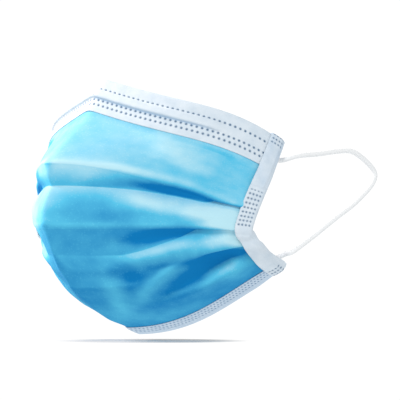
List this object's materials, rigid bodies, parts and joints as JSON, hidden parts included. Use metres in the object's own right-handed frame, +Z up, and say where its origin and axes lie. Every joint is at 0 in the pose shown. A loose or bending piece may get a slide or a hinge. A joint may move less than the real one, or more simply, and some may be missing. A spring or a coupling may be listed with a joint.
{
  "type": "surgical face mask",
  "caption": "Pleated disposable face mask in its worn shape, with a wired nose band, a chin band, bound sides and two elastic ear loops.",
  "frame": {"origin": "the nose seat: the inner face of the nose band at the ridge of the nose, on the mirror plane", "axes": "+X to the left of a wearer who faces -Y, +Y from the front of the mask towards the wearer's face, +Z up"},
  "size_m": [0.1426, 0.1272, 0.1086],
  "materials": {
    "outer_cloth": "matte spunbond nonwoven",
    "white_tape": "matte spunbond nonwoven",
    "wire_plastic": "matte",
    "elastic": "knitted elastic"
  },
  "bodies": {
    "root": {"pleated_panel": "outer_cloth", "nose_band": "white_tape", "chin_band": "white_tape", "nose_wire": "wire_plastic", "side_binding_right": "white_tape", "side_binding_left": "white_tape", "ear_loop_right": "elastic", "ear_loop_left": "elastic"}
  },
  "joints": []
}
